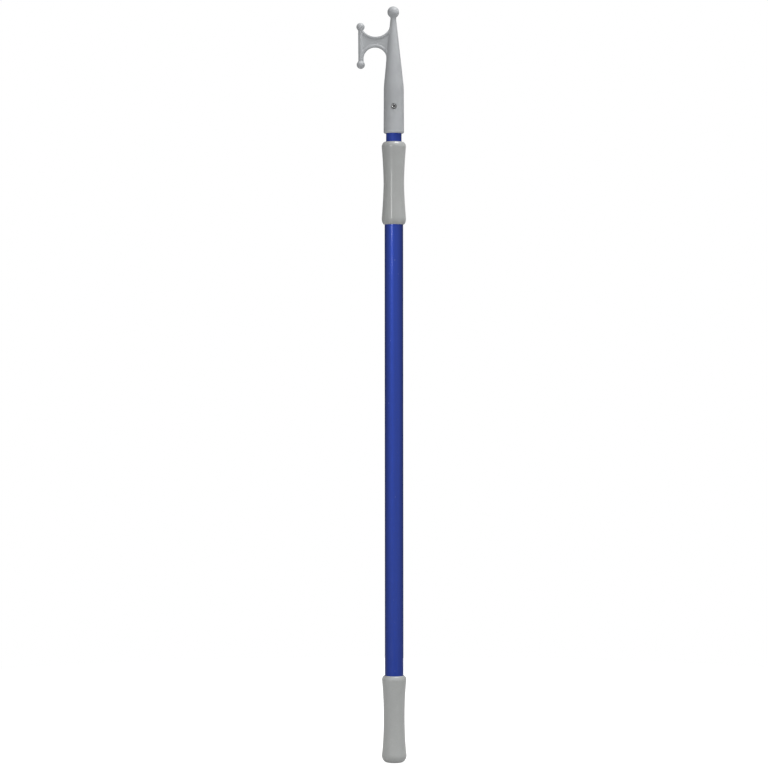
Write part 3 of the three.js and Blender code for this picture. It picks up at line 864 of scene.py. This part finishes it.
def bottom_plug():
    """A cup that opens downwards, with three grooves round it and a rim that caps the tube."""
    low, high = box_mm("bottom_plug")
    body = OUTER_BORE - FIXED_GAP
    groove = body - PLUG_GROOVE_DEPTH
    rim = low.z + PLUG_RIM
    ceiling = low.z + PLUG_HOLLOW_DEPTH
    profile = [(0, ceiling), (PLUG_HOLLOW_RADIUS, ceiling), (PLUG_HOLLOW_RADIUS, low.z)]
    profile += [(high.x, low.z), (high.x, rim), (body, rim)]
    for height in PLUG_GROOVES:
        z = rim + height
        profile += [(body, z), (groove, z + 0.6), (groove, z + 1.4), (body, z + 2)]
    profile += [(body, high.z - PLUG_BEVEL), (body - PLUG_BEVEL, high.z), (0, high.z)]
    return turned(rounded(profile, 0.3, 3))


BUSH_FLANGE = 2.3
BUSH_ROWS = (20, 37, 48)  # heights of extra rows of vertices, two of them round the rivets


def guide_bush():
    """A flanged sleeve with a bell mouth below and a seat for the wiper above."""
    low, high = box_mm("guide_bush")
    wiper_low, wiper_high = box_mm("wiper_ring")
    bore, body = INNER_RADIUS + RUNNING_GAP, OUTER_BORE - FIXED_GAP
    flange = high.z - BUSH_FLANGE
    seat_radius, seat = wiper_high.x + RUNNING_GAP, wiper_low.z - FIXED_GAP
    profile = [(bore + 0.4, low.z), (body - 0.3, low.z), (body, low.z + 0.6)]
    profile += [(body, low.z + height) for height in BUSH_ROWS]
    profile += [(body, flange), (high.x, flange), (high.x, high.z), (seat_radius, high.z)]
    profile += [(seat_radius, seat), (bore, seat)]
    profile += [(bore, low.z + height) for height in reversed(BUSH_ROWS)]
    profile += [(bore, low.z + 1.2)]
    return turned(rounded(profile, 0.2, 3))


# The wiper's inner side from top to bottom: share of its height, and depth behind the lips' tips.
WIPER_LIPS = ((0.94, 0.12), (0.76, 0.0), (0.58, 0.22), (0.42, 0.22), (0.24, 0.0), (0.06, 0.12))


def wiper_ring():
    """A rubber ring with two sealing lips on its inner side."""
    low, high = box_mm("wiper_ring")
    inner, height = INNER_RADIUS + FIXED_GAP, high.z - low.z
    inside = [(inner + depth, low.z + share * height) for share, depth in WIPER_LIPS]
    return turned(rounded([(high.x, low.z), (high.x, high.z), *inside], 0.08, 2))


# ---------------------------------------------------------------- floats

FLOAT_ROUND = 96  # segments round a float
FLOAT_PINCH = 0.25


def float_plug(node_name):
    """A foam plug with soft cut edges, pinched in slightly at the middle of its side."""
    low, high = box_mm(node_name)
    side = []
    for share in np.linspace(0, 1, 9):
        inward = FLOAT_PINCH * (1 - (2 * share - 1) ** 2)
        side.append((high.x - inward, low.z + share * (high.z - low.z)))
    return turned(rounded([(0, low.z), *side, (0, high.z)], 0.8, 4), FLOAT_ROUND)


# ---------------------------------------------------------------- twist lock

# Heights are measured from the bottom of the lock's end cap.
LOCK_NET_STEP = 0.36
SHANK_BOTTOM, SHANK_TOP = 24, 56
FLANGE_RADIUS, FLANGE_BOTTOM, FLANGE_TOP = 13.2, 23, 26
JOURNAL_RADIUS, JOURNAL_BOTTOM = 7.0, 4.2
HOLLOW_RADIUS, HOLLOW_BOTTOM, HOLLOW_TOP = 7.5, 32, 70
RIB_HALF, RIB_TOP = 1.1, 50
SEAL_GROOVE_RADIUS, SEAL_GROOVE_Z, SEAL_GROOVE_HALF = 9.6, 47.6, 1.0
SEAL_CORD = 0.75
PIN_HOLE, PIN_HOLE_HALF = 1.65, 20  # radius, and half the length
THREAD_HOLE, THREAD_HOLE_DEPTH = 2.15, 19.5  # radius, and depth
CAM_RADIUS, CAM_BORE = 13.0, 7.15
CAM_SLIT_HALF = 1.2
CAM_GROOVE_RADIUS, CAM_GROOVE_HALF = 11.8, 2.2
CAM_RELIEF_X, CAM_RELIEF_RADIUS = -9.6, 1.6  # a notch opposite the slit, where the ring bends
SCREW_SEAT_RADIUS, SCREW_SEAT_Z = 3.7, 2.4


def spindle_distance(points):
    """Distance to the lock spindle."""
    x, y, z = points[..., 0], points[..., 1], points[..., 2] - LOCK_BOTTOM
    radial = np.hypot(x, y)
    shank = barrel(radial, z, INNER_BORE - RUNNING_GAP, SHANK_BOTTOM, SHANK_TOP, edge=0.8)
    flange = barrel(radial, z, FLANGE_RADIUS, FLANGE_BOTTOM, FLANGE_TOP, edge=0.4)
    from_journal = np.hypot(x - JOURNAL_X, y)
    journal = barrel(from_journal, z, JOURNAL_RADIUS, JOURNAL_BOTTOM, SHANK_BOTTOM, edge=0.3)
    solid = rounded_or(np.minimum(shank, flange), journal, 0.4)
    hollow = barrel(radial, z, HOLLOW_RADIUS, HOLLOW_BOTTOM, HOLLOW_TOP, edge=0.8)
    ribs = np.maximum(np.minimum(abs(x + y), abs(x - y)) - RIB_HALF, z - RIB_TOP)
    hollow = rounded_and(hollow, -ribs, 0.5)
    groove = rounded_and(SEAL_GROOVE_RADIUS - radial, abs(z - SEAL_GROOVE_Z) - SEAL_GROOVE_HALF, 0.15)
    from_pin = np.hypot(x, z - LOCK_PIN_Z + LOCK_BOTTOM)
    pin = rounded_and(from_pin - PIN_HOLE, abs(y) - PIN_HOLE_HALF, 0.1)
    thread = barrel(radial, z, THREAD_HOLE, 0, THREAD_HOLE_DEPTH, edge=0.2)
    for cut in (hollow, groove, pin, thread):
        solid = rounded_and(solid, -cut, 0.15)
    return solid


def cam_distance(points):
    """Distance to the split off-centre ring."""
    low, high = box_mm("cam_ring")
    x, y, z = points[..., 0], points[..., 1], points[..., 2]
    radial = np.hypot(x, y)
    ring = barrel(radial, z, CAM_RADIUS, low.z, high.z, edge=0.6)
    bore = np.hypot(x - JOURNAL_X, y) - CAM_BORE
    slit = np.maximum(abs(y) - CAM_SLIT_HALF, -x)
    groove = rounded_and(CAM_GROOVE_RADIUS - radial, abs(z - (low.z + high.z) / 2) - CAM_GROOVE_HALF, 0.2)
    relief = np.hypot(x - CAM_RELIEF_X, y) - CAM_RELIEF_RADIUS
    for cut in (bore, slit, groove, relief):
        ring = rounded_and(ring, -cut, 0.3)
    return ring


def drag_band():
    """The rubber band in the cam ring's groove."""
    low, high = box_mm("cam_drag_band")
    inner = CAM_GROOVE_RADIUS + FIXED_GAP
    profile = [(inner, low.z), (high.x, low.z), (high.x, high.z), (inner, high.z)]
    return turned(rounded(profile, 0.5, 5))


def seal_ring():
    """A ring of round rubber cord in the spindle's groove."""
    high = box_mm("spindle_seal_ring")[1]
    middle = middle_z("spindle_seal_ring")
    angles = np.linspace(0, 2 * math.pi, 20, endpoint=False)
    outline = [
        (high.x - SEAL_CORD + SEAL_CORD * math.cos(angle), middle + SEAL_CORD * math.sin(angle))
        for angle in angles
    ]
    return turned(outline)


def lock_end_cap():
    """A disc with a bevelled edge and a sunk seat for its screw."""
    low, high = box_mm("lock_end_cap")
    seat = low.z + SCREW_SEAT_Z
    profile = [(SCREW_SEAT_RADIUS, low.z), (high.x - 1, low.z), (high.x, low.z + 1), (high.x, high.z)]
    profile += [(THREAD_HOLE, high.z), (THREAD_HOLE, seat), (SCREW_SEAT_RADIUS, seat)]
    return turned(rounded(profile, 0.25, 3))


# ---------------------------------------------------------------- assembly

# The holes and the screw's seat are given by their radii.
RIVET_HOLE = 1.7
RIVET_POCKET_RADIUS, RIVET_POCKET_DEPTH = 3.5, 1.6
HOOK_SCREW_HOLE = 2.15
HOOK_SCREW_SEAT = 5.0
HOOK_SCREW_SEAT_Y = -15
HOOK_SCREW_TURN = math.radians(55)
CLEAR = 1  # how far a drill starts outside what it cuts


def build_pole():
    """The outer tube and what is fixed to it, and the wiper in its mouth."""
    outside = POLE_RADIUS + CLEAR
    across = [(-outside, 0, RIVET_Z), (outside, 0, RIVET_Z)]
    outer = add_piece("outer_tube", tube("outer_tube", [RIVET_Z]))
    drill(outer, *across, RIVET_HOLE)
    bush = add_piece("guide_bush", guide_bush())
    drill(bush, *across, RIVET_HOLE)
    grip = add_piece("upper_grip", upper_grip())
    pocket = POLE_RADIUS + RIVET_POCKET_DEPTH
    drill(grip, (-pocket, 0, RIVET_Z), (pocket, 0, RIVET_Z), RIVET_POCKET_RADIUS)
    add_piece("lower_grip", lower_grip())
    add_piece("bottom_plug", bottom_plug())
    for rivet_name in ("bush_rivet_left", "bush_rivet_right"):
        add_piece(rivet_name, rivet(rivet_name))
    add_piece("wiper_ring", wiper_ring())


def build_inner_section():
    """The inner tube, the hook head on it and the floats in it."""
    outside = INNER_RADIUS + CLEAR
    screw_start, screw_end = (0, -outside, HOOK_SCREW_Z), (0, 0, HOOK_SCREW_Z)
    inner = add_piece("inner_tube", tube("inner_tube", [HOOK_SCREW_Z, LOCK_PIN_Z]), INNER_TUBE_LOOK)
    drill(inner, screw_start, screw_end, HOOK_SCREW_HOLE)
    drill(inner, (0, -outside, LOCK_PIN_Z), (0, outside, LOCK_PIN_Z), PIN_HOLE)
    hook_head = add_piece("hook_head", netted(hook_distance, "hook_head", HOOK_NET_STEP))
    seat_start, seat_end = (0, HOOK_LOW.y - CLEAR, HOOK_SCREW_Z), (0, HOOK_SCREW_SEAT_Y, HOOK_SCREW_Z)
    drill(hook_head, seat_start, seat_end, HOOK_SCREW_SEAT)
    drill(hook_head, seat_start, screw_end, HOOK_SCREW_HOLE)
    add_piece("hook_screw", screw("hook_screw", "Y", HOOK_SCREW_TURN))
    upper_float = add_piece("float_plug_upper", float_plug("float_plug_upper"))
    drill(upper_float, screw_start, screw_end, HOOK_SCREW_HOLE)
    add_piece("float_plug_lower", float_plug("float_plug_lower"))


def build_lock():
    """The twist lock in the inner tube's lower end."""
    add_piece("lock_spindle", netted(spindle_distance, "lock_spindle", LOCK_NET_STEP))
    add_piece("spindle_seal_ring", seal_ring())
    add_piece("lock_pin", lock_pin())
    add_piece("lock_end_cap", lock_end_cap())
    add_piece("lock_end_screw", screw("lock_end_screw", "Z"))
    add_piece("cam_ring", netted(cam_distance, "cam_ring", LOCK_NET_STEP))
    add_piece("cam_drag_band", drag_band())


# ---------------------------------------------------------------- stage, light and camera

# Metres from here on.
FLOOR_RADIUS = 1.6
FLOOR_DROP = 0.0005
FLOOR_GREY = (0.35, 0.35, 0.35)
FLOOR_GLOW, FLOOR_SEEN = 0.12, 0.95  # its own light on the pole, and to the camera
MIRRORED_FRONT, MIRRORED_BACK = 0.95, 0.1
MATT_BELOW, MATT_ABOVE = 0.16, 0.78
MATT_LEFT, MATT_RIGHT = 0.46, 1.34
BASE_Z, TOP_Z = cad_box[0].z, cad_box[1].z
CENTRE = (cad_box[0] + cad_box[1]) / 2
AIM = CENTRE + Vector((0.00365, 0.0, 0.0005))  # the photo isn't quite centred on the pole
CAMERA_DISTANCE = 4.19
CAMERA_LENS = 121.77  # focal length in millimetres
CAMERA_ROLL = math.radians(-0.04)


def make_floor():
    """A pale floor that shows almost white, takes a faint shadow and is clear from below."""
    mesh = bpy.data.meshes.new("floor")
    work = bmesh.new()
    bmesh.ops.create_circle(work, cap_ends=True, segments=ROUND, radius=FLOOR_RADIUS)
    work.to_mesh(mesh)
    work.free()
    floor = bpy.data.objects.new("floor", mesh)
    floor.location.z = BASE_Z - FLOOR_DROP
    bpy.context.scene.collection.objects.link(floor)
    look, tree = new_look("pale_floor")
    mesh.materials.append(look)
    matt = node(tree, "ShaderNodeBsdfDiffuse", {"Color": (*FLOOR_GREY, 1)}).outputs[0]
    seen = node(tree, "ShaderNodeLightPath").outputs["Is Camera Ray"]
    strength = blend_value(tree, seen, FLOOR_GLOW, FLOOR_SEEN)
    glow = node(tree, "ShaderNodeEmission", {"Color": (1, 1, 1, 1), "Strength": strength}).outputs[0]
    surface = node(tree, "ShaderNodeAddShader", {0: matt, 1: glow})
    clear = node(tree, "ShaderNodeBsdfTransparent").outputs[0]
    below = node(tree, "ShaderNodeNewGeometry").outputs["Backfacing"]
    both = node(tree, "ShaderNodeMixShader", {0: below, 1: surface.outputs[0], 2: clear})
    output = node(tree, "ShaderNodeOutputMaterial")
    tree.links.new(both.outputs[0], output.inputs["Surface"])


def make_world():
    """White to the camera. Soft and even on matt surfaces. Mirrored, bright in front and dark behind."""
    world = bpy.data.worlds.new("studio")
    bpy.context.scene.world = world
    world.use_nodes = True
    tree = world.node_tree
    tree.nodes.clear()
    path = node(tree, "ShaderNodeLightPath").outputs
    direction = node(tree, "ShaderNodeTexCoord").outputs["Generated"]
    towards = node(tree, "ShaderNodeSeparateXYZ", {"Vector": direction}).outputs
    mirrored = spread(tree, towards["Y"], MIRRORED_FRONT, MIRRORED_BACK, start=-0.6, end=0.75)
    from_above = spread(tree, towards["Z"], MATT_BELOW, MATT_ABOVE, start=-1, end=1)
    from_right = spread(tree, towards["X"], MATT_LEFT, MATT_RIGHT, start=-1, end=1)
    matt = node(tree, "ShaderNodeMath", {0: from_above, 1: from_right}, operation="MULTIPLY").outputs[0]
    strength = blend_value(tree, path["Is Glossy Ray"], matt, mirrored)
    seen = blend_value(tree, path["Is Camera Ray"], strength, 1.0)
    background = node(tree, "ShaderNodeBackground", {"Color": (1, 1, 1, 1), "Strength": seen})
    output = node(tree, "ShaderNodeOutputWorld")
    tree.links.new(background.outputs[0], output.inputs["Surface"])


def make_lamp(name, place_at, aim, size, power, mirrored=True, beam=math.pi):
    """A rectangular lamp. One that isn't mirrored doesn't show in shiny surfaces."""
    lamp = bpy.data.lights.new(name, "AREA")
    lamp.spread = beam
    lamp.shape = "RECTANGLE"
    lamp.size, lamp.size_y = size
    lamp.energy = power
    holder = bpy.data.objects.new(name, lamp)
    bpy.context.scene.collection.objects.link(holder)
    holder.location = place_at
    holder.rotation_mode = "QUATERNION"
    holder.rotation_quaternion = (Vector(aim) - Vector(place_at)).to_track_quat("-Z", "Y")
    holder.visible_glossy = mirrored


def make_camera():
    """A camera level with the middle of the pole and square to the hook."""
    camera = bpy.data.cameras.new("camera")
    camera.lens = CAMERA_LENS
    camera.clip_end = 100
    holder = bpy.data.objects.new("camera", camera)
    bpy.context.scene.collection.objects.link(holder)
    holder.location = AIM - Vector((0, CAMERA_DISTANCE, 0))
    holder.rotation_mode = "QUATERNION"
    level = (AIM - holder.location).to_track_quat("-Z", "Y")
    holder.rotation_quaternion = level @ Quaternion((0, 0, 1), CAMERA_ROLL)
    bpy.context.scene.camera = holder


def make_lamps():
    """A wide lamp far above, a narrow beam at the head, fills for the lower end and a strip for the streak.

    All of them stand clear of the pulled-out pole.
    """
    make_lamp(
        "head_light",
        place_at=(1.6, -0.6, TOP_Z + 0.681),
        aim=(0, 0, TOP_Z + 0.381),
        size=(0.4, 0.4),
        power=0.75,
        mirrored=False,
        beam=math.radians(45),
    )
    make_lamp(
        "top_light",
        place_at=(0.96, -0.56, TOP_Z + 2.881),
        aim=(0, 0, TOP_Z - 0.119),
        size=(1.6, 1.6),
        power=120.0,
    )
    for name, x, y, power in (("low_fill_left", -0.8, -1.2, 11.0), ("low_fill_right", 0.9, -0.9, 3.5)):
        make_lamp(
            name,
            place_at=(x, y, BASE_Z + 0.1),
            aim=(0, 0, BASE_Z + 0.05),
            size=(0.5, 0.5),
            power=power,
            mirrored=False,
        )
    make_lamp(
        "strip_light",
        place_at=(-0.84, -1.815, TOP_Z - 0.019),
        aim=(0, 0, TOP_Z - 0.319),
        size=(0.07, 0.5),
        power=6.5,
    )


def build_stage():
    """Floor, surroundings, lamps and camera, and a plain view of the colours."""
    make_floor()
    make_world()
    make_lamps()
    make_camera()
    view = bpy.context.scene.view_settings
    view.view_transform = "Standard"
    view.look = "None"


build_pole()
build_inner_section()
build_lock()
build_stage()
